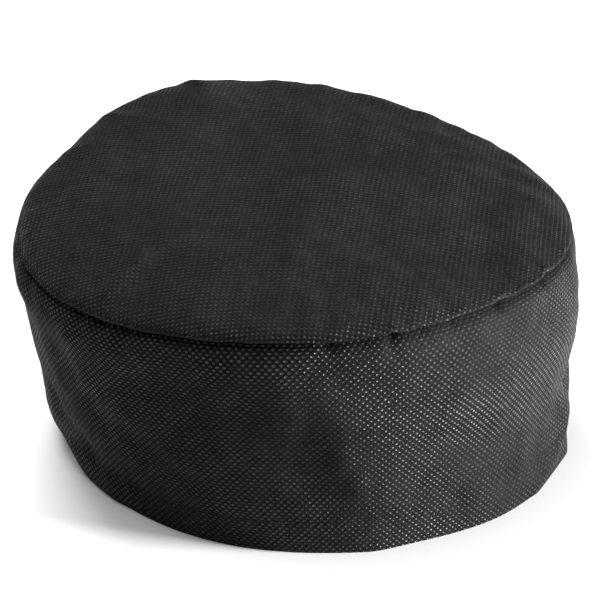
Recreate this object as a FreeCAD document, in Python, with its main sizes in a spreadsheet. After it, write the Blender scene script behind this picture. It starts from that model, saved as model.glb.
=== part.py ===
"""Chef's beanie: a low, round cloth cap with a puffed crown, a tapering side band, and a
hook-and-loop strap across an arched opening at the back.

Frame: +Z up, the forehead side faces -Y, the strap is at +Y. The cap stands on its rim at Z = 0,
and the origin is the centre of the rim. Millimetres.

Every wall of the cap follows one tapered oval, which is narrower at the rim than at the crown
seam. A layer is the space between two of those ovals, given by how far each lies outside the
band's outer face: 0 is the outer face, and minus is towards the head.
"""

import FreeCAD, Part
import os

SIZES = [
    # the cap's own shape
    ("crown_width", 203.0, "across the crown at its seam, temple to temple"),
    ("crown_length", 213.0, "along the crown at its seam, forehead to nape"),
    ("rim_width", 183.0, "across the rim"),
    ("rim_length", 197.0, "along the rim"),
    ("band_height", 86.0, "from the rim to the crown seam"),
    ("dome_rise", 15.0, "from the crown seam to the top of the puffed crown"),
    ("cloth", 0.6, "thickness of one layer of the cloth"),
    ("gap", 0.05, "between layers that are sewn together"),
    ("crown_lip", 0.8, "how far the crown rolls out over the seam"),
    ("allowance", 7.0, "cloth turned down inside the crown seam"),
    ("hem_width", 15.0, "cloth turned up inside the rim"),
    # sweatband
    ("sweatband_low", 1.5, "height of its lower edge"),
    ("sweatband_high", 27.0, "height of its upper edge"),
    ("sweatband_thick", 1.2, "thickness"),
    # opening at the nape
    ("opening_width", 60.0, "across the arched opening"),
    ("opening_height", 42.0, "from the rim to the top of the arch"),
    ("tape_width", 8.0, "of the binding tape on each face"),
    ("tape_thick", 0.5, "of the binding tape"),
    # adjuster strap
    ("strap_low", 5.0, "height of its lower edge"),
    ("strap_width", 24.0, "height of the strap"),
    ("strap_thick", 1.2, "two layers of cloth"),
    ("strap_stand", 2.3, "how far the strap's inner face stands off the band"),
    ("strap_fold", 25.0, "degrees from the nape to the strap's bending line"),
    ("strap_fold_gap", 1.0, "degrees between the free strap and its sewn end"),
    ("sewn_end", 11.0, "degrees that the sewn end covers"),
    ("strap_tip", 48.0, "degrees from the nape to the middle of the round tip"),
    # hook and loop
    ("pad_thick", 0.8, "of each pad"),
    ("pad_margin", 2.5, "from the strap's edges to a pad"),
    ("pad_near", 27.0, "degrees from the nape to the pads' near end"),
    ("pad_far", 49.0, "degrees from the nape to the pads' far end"),
    # thread
    ("thread", 0.4, "width of a row of stitching"),
    ("thread_proud", 0.25, "how far it stands off the cloth"),
    ("thread_clear", 0.02, "left between a row and the cloth"),
    ("thread_angle", 0.25, "width of a row that runs up the cap, in degrees"),
    ("felt_clear", 1.0, "from the tape's outer edge to the sweatband's end"),
    ("hem_row", 13.5, "height of the row that holds the hem and the sweatband"),
    ("crown_row", 2.5, "from the crown seam down to its row of stitching"),
    ("tape_row", 2.0, "from the tape's outer edge to its row of stitching"),
    ("edge_row", 1.4, "from a strap's or pad's edge to its row of stitching"),
    ("edge_row_angle", 0.9, "the same, in degrees round the cap"),
    ("cross_angle", 52.0, "slope of the two rows that cross in the sewn end"),
    # sizes of the helpers that cut pieces to shape
    ("reach", 160.0, "past everything"),
    ("past", 2.0, "how far a cutting tool runs past what it cuts"),
]

doc = FreeCAD.newDocument("ChefBeanie")
sizes = doc.addObject("Spreadsheet::Sheet", "sizes")
for row, (alias, value, note) in enumerate(SIZES, start=1):
    sizes.set(f"A{row}", note)
    sizes.set(f"B{row}", str(value))
    sizes.setAlias(f"B{row}", alias)
doc.recompute()


def cells(expression):
    """The expression with each alias written as a cell of the sheet."""
    words = expression.replace("(", " ( ").replace(")", " ) ").split()
    aliases = {alias for alias, _, _ in SIZES}
    return " ".join("sizes." + w if w in aliases else w for w in words)


def make(kind, name, **bound):
    """A new object of the document whose properties follow expressions of the sheet."""
    made = doc.addObject(kind, name)
    for prop, expression in bound.items():
        made.setExpression(prop.replace("__", "."), cells(expression))
    return made


def boolean(kind, name, base, tool):
    made = doc.addObject(kind, name)
    made.Base = base
    made.Tool = tool
    return made


def cut(name, base, tool):
    return boolean("Part::Cut", name, base, tool)


def common(name, base, tool):
    return boolean("Part::Common", name, base, tool)


def fuse(name, *shapes):
    made = doc.addObject("Part::MultiFuse", name)
    made.Shapes = list(shapes)
    return made


def group(name, *shapes):
    """Separate solids of one sub-part, kept apart."""
    made = doc.addObject("Part::Compound", name)
    made.Links = list(shapes)
    return made


# The tapered oval and what is cut from it ------------------------------------------------------


def oval(name, offset, height):
    """The outline of the cap at a height, offset outwards. An ellipse's long axis lies on X."""

    def half(side):
        return (
            f"rim_{side} / 2 + ( crown_{side} - rim_{side} ) / 2"
            f" * ( {height} ) / band_height + ( {offset} )"
        )

    made = make(
        "Part::Ellipse",
        name,
        MajorRadius=half("length"),
        MinorRadius=half("width"),
        Placement__Base__z=height,
    )
    made.Placement = FreeCAD.Placement(
        made.Placement.Base, FreeCAD.Rotation(FreeCAD.Vector(0, 0, 1), 90)
    )
    return made


def plug(name, offset, low, high):
    """A solid filling the tapered oval from one height to another."""
    made = doc.addObject("Part::Loft", name)
    made.Sections = [
        oval(name + "_low", offset, low),
        oval(name + "_high", offset, high),
    ]
    made.Solid = True
    made.Ruled = True
    return made


def layer(name, outer, inner, low, high):
    """The cloth between two offsets, from one height to another."""
    return cut(
        name,
        plug(name + "_outer", outer, low, high),
        plug(name + "_inner", inner, f"{low} - past", f"{high} + past"),
    )


def arch(name, grow):
    """A prism through the nape in the shape of the opening, grown by a margin all round."""
    radius = f"opening_width / 2 + ( {grow} )"
    legs = make(
        "Part::Box",
        name + "_legs",
        Length=f"2 * ( {radius} )",
        Width="reach",
        Height="opening_height - opening_width / 2 + past",
        Placement__Base__x=f"0 - ( {radius} )",
        Placement__Base__z="0 - past",
    )
    top = make(
        "Part::Cylinder",
        name + "_top",
        Radius=radius,
        Height="reach",
        Placement__Base__z="opening_height - opening_width / 2",
    )
    top.Placement = FreeCAD.Placement(
        top.Placement.Base, FreeCAD.Rotation(FreeCAD.Vector(1, 0, 0), -90)
    )
    return fuse(name, legs, top)


def sector(name, start, end, low, high):
    """A wedge about the cap's middle, from one angle to another. Angles run from the nape (+Y)
    towards -X, so a negative one is on the wearer's +X side."""
    made = make(
        "Part::Cylinder",
        name,
        Radius="reach",
        Height=f"( {high} ) - ( {low} )",
        Angle=f"( {end} ) - ( {start} )",
        Placement__Base__z=low,
        Placement__Rotation__Angle=f"90 + ( {start} )",
    )
    return made


def bar(name, angle, height, radius):
    """A round bar from the middle outwards at an angle from the nape."""
    made = make(
        "Part::Cylinder",
        name,
        Radius=radius,
        Height="reach",
        Placement__Base__z=height,
    )
    turn = FreeCAD.Rotation(FreeCAD.Vector(0, 0, 1), angle)
    lay = FreeCAD.Rotation(FreeCAD.Vector(1, 0, 0), -90)
    made.Placement = FreeCAD.Placement(made.Placement.Base, turn.multiply(lay))
    return made


def value(alias):
    return float(sizes.get(alias))


# Crown and band --------------------------------------------------------------------------------


def dome(name, shrink):
    """Half an ellipsoid standing on the crown seam."""
    return make(
        "Part::Ellipsoid",
        name,
        Radius1=f"dome_rise - ( {shrink} )",
        Radius2=f"crown_width / 2 + crown_lip - ( {shrink} )",
        Radius3=f"crown_length / 2 + crown_lip - ( {shrink} )",
        Angle1="0",
        Placement__Base__z="band_height + gap",
    )


def crown_panel():
    """The puffed top, with its edge turned down inside the band's own turned-down edge."""
    shell = cut("crown_shell", dome("crown_outside", "0"), dome("crown_inside", "cloth"))
    flange_inner = "0 - 3 * cloth - gap"
    roll = layer(
        "crown_roll", "crown_lip - cloth / 2", flange_inner, "band_height + gap",
        "band_height + gap + cloth",
    )
    flange = layer(
        "crown_flange", "0 - 2 * cloth - gap", flange_inner, "band_height - allowance",
        "band_height + gap + cloth",
    )
    return fuse("crown_panel", shell, roll, flange)


def side_band():
    """One strip: the wall, its edge turned down at the crown and its hem turned up at the rim.
    The hem stops at the tape round the opening."""
    wall = layer("band_wall", "0", "0 - cloth", "0", "band_height")
    turned = layer(
        "band_allowance", "0 - cloth / 2", "0 - 2 * cloth", "band_height - allowance",
        "band_height",
    )
    hem = layer("band_hem", "0 - cloth / 2", "0 - 2 * cloth", "0", "hem_width")
    hem = cut("band_hem_ended", hem, arch("hem_end", "tape_width + gap"))
    strip = fuse("band_strip", wall, turned, hem)
    return cut("side_band", strip, arch("opening_cut", "0"))


def sweatband():
    """An absorbent strip inside the hem, up to the tape on each side of the opening."""
    ring = layer(
        "sweatband_ring", "0 - 2 * cloth - gap", "0 - 2 * cloth - gap - sweatband_thick",
        "sweatband_low", "sweatband_high",
    )
    return cut("sweatband", ring, arch("sweatband_end", "tape_width + felt_clear"))


def opening_binding(band):
    """A tape folded over the raw edge of the arched opening."""
    block = layer(
        "tape_block", "tape_thick", "0 - cloth - tape_thick", "0",
        "opening_height + tape_width + past",
    )
    zone = cut("tape_zone", arch("tape_far", "tape_width"), arch("tape_near", "0 - tape_thick"))
    return cut("opening_binding", common("tape_solid", block, zone), band)


# Adjuster strap --------------------------------------------------------------------------------

STRAP_HIGH = "strap_low + strap_width"
STRAP_OUT = "strap_stand + strap_thick"
PAD_LOW = "strap_low + pad_margin"
PAD_HIGH = "strap_low + strap_width - pad_margin"
ON_BAND = "thread_proud + gap"
LOOP_FACE = "thread_proud + gap + pad_thick"
FREE_START = "0 - strap_fold + strap_fold_gap / 2"
SEWN_START = "0 - strap_fold - strap_fold_gap / 2 - sewn_end"
SEWN_STOP = "0 - strap_fold - strap_fold_gap / 2"


def strap_shape(name, shrink, angle_shrink):
    """The free strap's outline, with a round tip, shrunk by a margin."""
    straight = sector(
        name + "_straight", f"{FREE_START} + {angle_shrink}", "strap_tip",
        f"strap_low + {shrink}", f"{STRAP_HIGH} - {shrink}",
    )
    tip = bar(
        name + "_tip", value("strap_tip"), "strap_low + strap_width / 2",
        f"strap_width / 2 - {shrink}",
    )
    return fuse(name, straight, tip)


def row_in(name, outer, inner, shape, smaller):
    """A row of stitching: what lies between two outlines, in a thin layer."""
    thread = layer(name + "_layer", outer, inner, "0", "opening_height")
    return common(name, thread, cut(name + "_frame", shape, smaller))


def adjuster_strap():
    block = layer("strap_block", STRAP_OUT, "strap_stand", "0", "opening_height")
    return common("adjuster_strap", block, strap_shape("strap_outline", "0", "0"))


def strap_sewn_end():
    """The strap's other end, folded under on itself and sewn flat to the band, over the row
    that holds the hem."""
    block = layer("sewn_block", STRAP_OUT, ON_BAND, "0", "opening_height")
    zone = sector("sewn_zone", SEWN_START, SEWN_STOP, "strap_low", STRAP_HIGH)
    return common("strap_sewn_end", block, zone)


def strap_edge_stitching():
    return row_in(
        "strap_edge_stitching", f"{STRAP_OUT} + thread_proud", f"{STRAP_OUT} + thread_clear",
        strap_shape("strap_row", "edge_row", "edge_row_angle"),
        strap_shape("strap_row_inside", "( edge_row + thread )", "edge_row_angle + thread_angle"),
    )


def strap_anchor_stitching():
    """A box with a cross in it, through the sewn end."""
    low = "strap_low + edge_row"
    high = f"{STRAP_HIGH} - edge_row"
    box_outside = sector(
        "anchor_outside", f"{SEWN_START} + edge_row_angle", f"{SEWN_STOP} - edge_row_angle",
        low, high,
    )
    box_inside = sector(
        "anchor_inside", f"{SEWN_START} + edge_row_angle + thread_angle",
        f"{SEWN_STOP} - edge_row_angle - thread_angle", f"{low} + thread", f"{high} - thread",
    )
    middle = -(value("strap_fold") + value("strap_fold_gap") / 2 + value("sewn_end") / 2)
    bars = [cut("anchor_frame", box_outside, box_inside)]
    for side in (1, -1):
        plank = make(
            "Part::Box", f"anchor_cross_{'right' if side > 0 else 'left'}",
            Length="thread", Width="reach", Height="strap_width * 2",
        )
        centre = FreeCAD.Vector(-value("thread") / 2, 0, -value("strap_width"))
        turn = FreeCAD.Rotation(FreeCAD.Vector(0, 0, 1), middle)
        lean = FreeCAD.Rotation(FreeCAD.Vector(0, 1, 0), side * (90 - value("cross_angle")))
        turn = turn.multiply(lean)
        height = value("strap_low") + value("strap_width") / 2
        base = turn.multVec(centre).add(FreeCAD.Vector(0, 0, height))
        plank.Placement = FreeCAD.Placement(base, turn)
        bars.append(common(plank.Name + "_trimmed", plank, box_outside))
    thread = layer(
        "anchor_layer", f"{STRAP_OUT} + thread_proud", f"{STRAP_OUT} + thread_clear", "0",
        "opening_height",
    )
    return common("strap_anchor_stitching", thread, fuse("anchor_rows", *bars))


# Hook and loop ---------------------------------------------------------------------------------


def pad_zone(name, margin, angle_margin):
    return sector(
        name, f"pad_near + {angle_margin}", f"pad_far - {angle_margin}",
        f"{PAD_LOW} + {margin}", f"{PAD_HIGH} - {margin}",
    )


def loop_pad(stitching):
    """The soft half, sewn to the band's outer face beside the opening."""
    block = layer("loop_block", LOOP_FACE, ON_BAND, "0", "opening_height")
    pad = common("loop_pad_whole", block, pad_zone("loop_zone", "0", "0"))
    return cut("loop_pad", pad, stitching)


def hook_pad():
    """The stiff half, sewn to the strap's inner face."""
    block = layer(
        "hook_block", "strap_stand - gap", "strap_stand - gap - pad_thick", "0",
        "opening_height",
    )
    return common("hook_pad", block, pad_zone("hook_zone", "0", "0"))


def pad_stitching(name, outer, inner):
    """A row round a pad."""
    return row_in(
        name, outer, inner,
        pad_zone(name + "_outside", "edge_row", "edge_row_angle"),
        pad_zone(name + "_inside", "edge_row + thread", "edge_row_angle + thread_angle"),
    )


# Rows of stitching -----------------------------------------------------------------------------


def hem_stitching():
    """The row that holds the hem and the sweatband: needle thread outside, bobbin thread
    inside."""
    end = arch("hem_row_end", "tape_width + past")
    high = "hem_row + thread"
    outside = layer("hem_row_outside", "thread_proud", "thread_clear", "hem_row", high)
    face = "0 - 2 * cloth - 2 * gap - sweatband_thick"
    inside = layer("hem_row_inside", face, f"{face} - thread_proud", "hem_row", high)
    return group(
        "hem_stitching",
        cut("hem_needle_thread", outside, end),
        cut("hem_bobbin_thread", inside, end),
    )


def crown_seam_stitching():
    """The row that joins the crown and the band, on the crown's turned-down edge."""
    face = "0 - 3 * cloth - 2 * gap"
    return layer(
        "crown_seam_stitching", face, f"{face} - thread_proud",
        "band_height - crown_row", "band_height - crown_row + thread",
    )


def crown_seam_overlock():
    """Thread looped round the two raw edges of the crown seam."""
    face = "0 - 3 * cloth - 2 * gap"
    block = layer(
        "overlock_block", "0 - cloth - gap", f"{face} - thread_proud",
        "band_height - allowance - gap - thread", "band_height - allowance / 2",
    )
    edges = layer(
        "overlock_edges", "cloth", face, "band_height - allowance - gap", "band_height",
    )
    return cut("crown_seam_overlock", block, edges)


def binding_stitching():
    """The row that runs round the tape on the outer face."""
    block = layer(
        "tape_row_block", "tape_thick + thread_proud", "tape_thick + thread_clear", "0",
        "opening_height + tape_width",
    )
    zone = cut(
        "tape_row_zone",
        arch("tape_row_outside", "tape_width - tape_row"),
        arch("tape_row_inside", "tape_width - tape_row - thread"),
    )
    return common("binding_stitching", block, zone)


# The cap ---------------------------------------------------------------------------------------

band = side_band()
loop_stitching = pad_stitching(
    "loop_pad_stitching", LOOP_FACE, f"{LOOP_FACE} - thread_proud",
)
subparts = [
    crown_panel(),
    band,
    sweatband(),
    opening_binding(band),
    adjuster_strap(),
    strap_sewn_end(),
    loop_pad(loop_stitching),
    hook_pad(),
    crown_seam_stitching(),
    crown_seam_overlock(),
    hem_stitching(),
    binding_stitching(),
    strap_edge_stitching(),
    strap_anchor_stitching(),
    loop_stitching,
    pad_stitching(
        "hook_pad_stitching", f"{STRAP_OUT} + thread_proud", f"{STRAP_OUT} + thread_clear",
    ),
]
doc.recompute()

for made in doc.Objects:
    if "Invalid" in made.State or "Error" in made.State:
        raise RuntimeError(f"{made.Name} failed: {made.State}")

os.makedirs("parts", exist_ok=True)
for made in subparts:
    shape = made.Shape
    if shape.isNull() or not shape.isValid() or not shape.Solids:
        raise RuntimeError(f"{made.Label} has no valid solid")
    shape.exportStep(os.path.join("parts", made.Label + ".step"))
    box = shape.optimalBoundingBox(True, False)
    print(
        f"{made.Label}: {len(shape.Solids)} solids, {shape.Volume:.1f} mm3, "
        f"X {box.XMin:.1f}..{box.XMax:.1f} Y {box.YMin:.1f}..{box.YMax:.1f} "
        f"Z {box.ZMin:.1f}..{box.ZMax:.1f}"
    )
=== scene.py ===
"""The looks of a chef's beanie: black non-woven cloth with a grid of bond dots, a puffed crown,
a soft side band with a crease at the forehead, and a hook-and-loop strap at the nape.

Angles run round the cap from the forehead (-Y) towards +X, in degrees where a name says so.
Lengths are in metres; MM turns millimetres into them.
"""

import math

import bmesh
import bpy
import numpy as np
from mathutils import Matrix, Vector


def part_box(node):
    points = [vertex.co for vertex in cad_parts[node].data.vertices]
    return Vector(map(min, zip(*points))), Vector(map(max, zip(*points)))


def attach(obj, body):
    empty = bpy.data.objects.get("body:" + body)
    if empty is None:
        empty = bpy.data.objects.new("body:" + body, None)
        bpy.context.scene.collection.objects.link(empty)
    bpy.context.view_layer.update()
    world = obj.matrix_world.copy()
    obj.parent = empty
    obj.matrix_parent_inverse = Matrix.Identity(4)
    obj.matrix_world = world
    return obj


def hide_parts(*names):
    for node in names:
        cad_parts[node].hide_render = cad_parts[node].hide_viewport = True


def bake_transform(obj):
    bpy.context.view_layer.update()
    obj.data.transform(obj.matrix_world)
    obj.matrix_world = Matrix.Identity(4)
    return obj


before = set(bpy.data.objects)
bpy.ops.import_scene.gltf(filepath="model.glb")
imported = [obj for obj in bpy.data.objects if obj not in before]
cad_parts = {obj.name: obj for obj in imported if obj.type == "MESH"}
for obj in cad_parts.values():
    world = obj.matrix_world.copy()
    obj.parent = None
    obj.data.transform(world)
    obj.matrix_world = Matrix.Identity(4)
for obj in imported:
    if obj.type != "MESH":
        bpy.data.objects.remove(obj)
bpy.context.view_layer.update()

MM = 0.001
RANDOM = np.random.default_rng(11)

# --- Sizes that the frame gives ---

BAND_LOW, BAND_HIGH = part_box("side_band")
SEAM_WIDTH = BAND_HIGH.x - BAND_LOW.x
SEAM_LENGTH = BAND_HIGH.y - BAND_LOW.y
BAND_HEIGHT = BAND_HIGH.z
DOME_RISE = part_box("crown_panel")[1].z - BAND_HEIGHT - 0.5 * MM
ALLOWANCE = BAND_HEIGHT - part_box("crown_panel")[0].z
HEM_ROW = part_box("hem_stitching")[0].z
SWEATBAND_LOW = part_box("sweatband")[0].z
SWEATBAND_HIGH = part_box("sweatband")[1].z
OPENING_HALF = 30 * MM
TAPE_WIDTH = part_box("opening_binding")[1].x - OPENING_HALF
ARCH_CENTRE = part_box("opening_binding")[1].z - TAPE_WIDTH - OPENING_HALF
STRAP_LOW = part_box("adjuster_strap")[0].z
STRAP_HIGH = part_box("adjuster_strap")[1].z
PAD_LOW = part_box("loop_pad")[0].z
PAD_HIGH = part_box("loop_pad")[1].z

CLOTH = 0.5 * MM
HEM_WIDTH = 15 * MM
TAPE_ROW = 6.0 * MM
TAPE_PITCH = 2.8 * MM
STRAP_PITCH = 2.8 * MM
DOT_PITCH = 1.82 * MM
COLUMNS = 560
MM_PER_DEGREE = 1.72  # round the band

# --- The cap's shape ---

RIM = {"width": 185.8 * MM, "length": 195.0 * MM, "power": 2.18, "turn": 0.18}
RIM_CENTRE = (2.0 * MM, 0.8 * MM)
SEAM = {"width": SEAM_WIDTH, "length": SEAM_LENGTH, "power": 1.845, "turn": 0.041}
SEAM_CENTRE = (-3.5 * MM, -0.4 * MM)

# Creases that the packing left in the band: degrees at the rim and at the seam, how far each
# stands out there, and its reach and roundness in degrees.
CREASES = [
    (0.0, -9.0, 3.3 * MM, 1.6 * MM, 12.0, 2.0),
    (60.0, 62.0, 3.0 * MM, 0.0, 8.0, 1.5),
    (-74.0, -74.0, 1.5 * MM, 0.0, 10.0, 2.0),
]


def bump(x, width):
    return np.exp(-((x / width) ** 2))


def outward(a):
    """The level direction out of the cap at an angle."""
    return np.stack([np.sin(a), -np.cos(a), 0 * a], -1)


def turn_between(a, b):
    """The angle from b to a, between -180 and 180 degrees, in degrees."""
    return np.degrees((a - np.radians(b) + np.pi) % (2 * np.pi) - np.pi)


def oval(a, width, length, power, turn, centre):
    """A squarish oval in plan, at angle a from the forehead."""
    s, c = np.sin(a - turn), np.cos(a - turn)
    terms = np.abs(s / (width / 2)) ** power + np.abs(c / (length / 2)) ** power
    r = terms ** (-1 / power)
    return np.stack([centre[0] + r * np.sin(a), centre[1] - r * np.cos(a)], -1)


# Where the slack cap sinks and is pulled in at its seam: degrees, mm, width in degrees.
SEAM_DIPS = [(177, 2.0, 8), (158, 1.6, 8), (-132, 0.8, 12)]
SEAM_PULLS = [(-132, 2.8, 13), (114, -1.9, 15)]
# Where the rim is splayed outwards, in the same way.
RIM_SPLAYS = [(30, 3.2, 20)]


def local(a, places):
    """The sum of rounded bumps at some places round the cap, in mm."""
    return sum(size * bump(turn_between(a, at), width) for at, size, width in places)


def seam_height(a):
    """The soft cap sags at the sides, so the seam runs up and down."""
    once = -0.6 * np.sin(a) - 0.8 * np.cos(a)
    twice = 5.6 * np.cos(2 * a) + 2.5 * np.sin(2 * a)
    return BAND_HEIGHT + MM * (0.4 + once + twice - local(a, SEAM_DIPS)) + seam_waver(a)


def seam_waver(a):
    """The small wander of a seam that was sewn by hand and eye."""
    waves = ((17, 0.12, 0.3), (29, 0.10, 1.9), (47, 0.07, 4.0), (71, 0.05, 2.2))
    return MM * sum(size * np.sin(n * a + phase) for n, size, phase in waves)


def crease_push(a, h):
    """How far the creases stand out, at a share h of the way from the rim to the seam."""
    out = np.zeros(np.broadcast(a, h).shape)
    for low, high, push_low, push_high, reach, radius in CREASES:
        d = turn_between(a, 0.0) - (low + (high - low) * h)
        d = (d + 180) % 360 - 180
        peak = np.exp(-(np.sqrt(d * d + radius * radius) - radius) / reach)
        out = out + (push_low + (push_high - push_low) * h) * (peak - 0.35 * bump(d, 40.0))
    return out


def swell(a, h):
    """How far the wall stands out past a straight line from the rim to the seam."""
    left = 0.5 - 0.5 * np.sin(a)
    right = 1 - left
    whole = (1.6 + 2.2 * left) * 4 * h * (1 - h)
    left_roll = 3.4 * left * bump(h - 0.89, 0.12) * (1 - bump(h - 1.0, 0.022))
    tucked = 2.5 * right * bump(h - 0.985, 0.032)
    below_seam = left_roll + 3.0 * right * bump(h - 0.72, 0.16) - tucked
    hollow = -2.6 * right * bump(h - 0.38, 0.2)
    return MM * (whole + below_seam + hollow)


# Soft folds in the band: (degrees, height mm) at each end, half-width mm, height mm.
BAND_FOLDS = [
    ((-112, 34), (-84, 29), 7.0, -0.9),
    ((-84, 29), (-67, 17), 7.0, -1.7),
    ((-67, 17), (-52, 14), 5.0, -1.0),
    ((-92, 12), (-62, 3), 6.0, 1.0),
    ((-62, 52), (-34, 33), 5.5, 0.55),
    ((-58, 43), (-34, 25), 5.0, -0.5),
    ((78, 26), (42, 4), 4.5, 1.5),
    ((66, 30), (32, 13), 6.0, -1.3),
    ((26, 36), (44, 28), 7.0, -0.9),
    ((11, 24), (17, 19), 5.0, -0.6),
    ((-10, 70), (-3, 30), 6.0, 0.5),
    ((20, 60), (32, 42), 10.0, 0.5),
    ((52, 60), (62, 40), 8.0, 0.5),
    ((130, 60), (150, 40), 10.0, 0.8),
    ((205, 66), (232, 50), 9.0, 0.8),
    ((236, 40), (252, 30), 8.0, -0.8),
    ((104, 40), (118, 22), 9.0, -0.8),
]


def fold_field(x, y, folds, scale_x):
    """The height of soft folds at (x, y). Each is a line with a rounded section. In mm."""
    total = np.zeros(np.broadcast(x, y).shape)
    for (x0, y0), (x1, y1), width, height in folds:
        dx, dy = (x1 - x0) * scale_x, y1 - y0
        px, py = (x - x0) * scale_x, y - y0
        share = np.clip((px * dx + py * dy) / (dx * dx + dy * dy), 0, 1)
        off = np.hypot(px - share * dx, py - share * dy)
        total = total + height * bump(off, width)
    return total


def band_folds(a, z):
    """How far the folds stand out of the band, at heights in metres."""
    degrees = turn_between(a, 0.0)
    total = fold_field(degrees, z / MM, BAND_FOLDS, MM_PER_DEGREE)
    total = total + fold_field(degrees + 360, z / MM, BAND_FOLDS, MM_PER_DEGREE)
    return MM * total


# Puckers beside the crown seam: where the thread pulls the cloth in. The first ones are listed
# one by one: degrees, depth mm, half-width mm, length mm down the band, length mm up the crown.
PUCKERS = [
    (-100, 0.9, 2.2, 4, 12),
    (-92, 1.0, 2.6, 5, 14),
    (-81, 0.7, 2.4, 8, 10),
    (-62, 1.3, 2.6, 7, 7),
    (-56, 0.8, 3.4, 3, 16),
    (-49, 1.3, 3.0, 9, 11),
    (-30, 0.4, 2.5, 5, 5),
    (-7, 0.9, 3.0, 8, 3),
    (4.6, 1.9, 1.7, 7, 3),
    (18, 1.2, 3.4, 11, 3),
    (30, 1.6, 3.2, 7, 3),
    (38, 0.6, 2.4, 7, 3),
    (47, 1.7, 3.4, 9, 3),
    (60, 1.0, 3.0, 9, 3),
    (92, 1.8, 2.8, 7, 13),
    (118, 1.7, 2.8, 7, 14),
    (135, 1.9, 2.8, 8, 15),
    (161, 1.9, 3.0, 8, 16),
    (191, 2.6, 3.0, 9, 20),
    (215, 2.2, 2.8, 9, 18),
    (231, 2.2, 2.8, 8, 18),
]
for spot in np.arange(-176.0, 180.0, 5.3):
    PUCKERS.append(
        (
            spot + RANDOM.uniform(-2.2, 2.2),
            RANDOM.uniform(0.15, 0.55),
            RANDOM.uniform(1.2, 2.6),
            RANDOM.uniform(3, 9),
            RANDOM.uniform(3, 9),
        )
    )


def puckers(a, distance, on_crown):
    """How deep the cloth is pulled in at a distance from the seam, in metres."""
    total = np.zeros(np.broadcast(a, distance).shape)
    for degrees, depth, width, down, up in PUCKERS:
        length = (up if on_crown else down) * MM
        side = turn_between(a, degrees) * MM_PER_DEGREE
        widening = width * (1 + 0.8 * distance / length)
        fade = np.exp(-((distance / length) ** 1.5))
        shape = bump(side, widening) - 0.45 * bump(side, 2.4 * widening)
        total = total + depth * shape * fade
    return MM * total


HEM_STITCHES = 178


def hem_pull(a, z):
    """The hem's row of stitches pulls the band in, most at each needle hole."""
    beat = 0.65 + 0.35 * np.cos(HEM_STITCHES * a)
    row = -0.42 * beat * bump((z - HEM_ROW) / MM, 1.3)
    return MM * (row + 0.22 * bump((z - HEM_ROW) / MM - 4.0, 2.4))


# Gentle unevenness all over the cloth: waves of random direction, in mm.
RUMPLES = [
    (
        size * RANDOM.uniform(0.7, 1.3),
        2 * math.pi / (length * RANDOM.uniform(0.8, 1.25)),
        RANDOM.uniform(0, math.pi),
        RANDOM.uniform(0, 2 * math.pi),
    )
    for size, length, count in ((0.24, 52.0, 6), (0.07, 23.0, 9), (0.025, 10.0, 12))
    for _ in range(count)
]


def rumples(x, y):
    """Unevenness at (x, y) in metres over the cloth."""
    total = np.zeros(np.broadcast(x, y).shape)
    for size, waves, heading, phase in RUMPLES:
        total = total + size * np.sin(
            waves * (x * math.cos(heading) + y * math.sin(heading)) / MM + phase
        )
    return MM * total


def band_rumples(a, z):
    """The same round the band, faded out at the nape where the strip's ends would meet."""
    around = turn_between(a, 0.0)
    fade = 1 - bump(np.abs(around) - 180, 10.0)
    return rumples(around * MM_PER_DEGREE * MM, z + 0.3) * fade


def wall(a, z, out=0.0):
    """A point of the band's outer face at an angle and a height, moved outwards by out."""
    a, z, out = np.broadcast_arrays(a, z, out)
    top = seam_height(a)
    h = z / top
    rim = oval(a, **RIM, centre=RIM_CENTRE)
    seam = oval(a, **SEAM, centre=SEAM_CENTRE)
    share = np.clip(h, 0, 1.1)
    radial = outward(a)[..., :2]
    push = crease_push(a, h) + swell(a, h) - MM * local(a, SEAM_PULLS) * share**2
    push = push + MM * local(a, RIM_SPLAYS) * np.abs(1 - share) ** 1.5
    folds = band_folds(a, z) * (1 - bump(h - 1, 0.06))
    folds = folds + band_rumples(a, z) * np.clip(h / 0.15, 0, 1) * (1 - bump(h - 1, 0.06))
    push = push + folds + hem_pull(a, z) - puckers(a, np.maximum(top - z, 0), False)
    share = share[..., None]
    xy = rim * (1 - share) + seam * share + radial * (push + out)[..., None]
    return np.concatenate([xy, z[..., None]], -1)


# Dents and ridges of the crown: plan (x, y) mm at each end, half-width mm, height mm.
CROWN_FOLDS = [
    ((-92, 24), (-78, 44), 9.0, 1.0),
    ((-84, -50), (-70, -38), 5.0, -1.3),
    ((-70, -52), (-60, -40), 5.0, 0.9),
    ((-52, -80), (-20, -92), 4.0, 0.35),
    ((36, 18), (86, 24), 6.0, 0.9),
    ((60, 40), (88, 10), 6.0, -0.6),
    ((30, -30), (52, -10), 14.0, -1.0),
    ((-30, 20), (-10, 60), 18.0, 1.2),
    ((-10, -40), (10, -10), 16.0, -0.9),
    ((-60, 0), (-40, 30), 16.0, 0.8),
    ((10, 60), (40, 76), 10.0, 0.5),
    ((66, -40), (80, -20), 8.0, -0.6),
    ((20, -70), (50, -66), 9.0, 0.5),
    ((-40, -60), (-20, -62), 10.0, -0.5),
]


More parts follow.
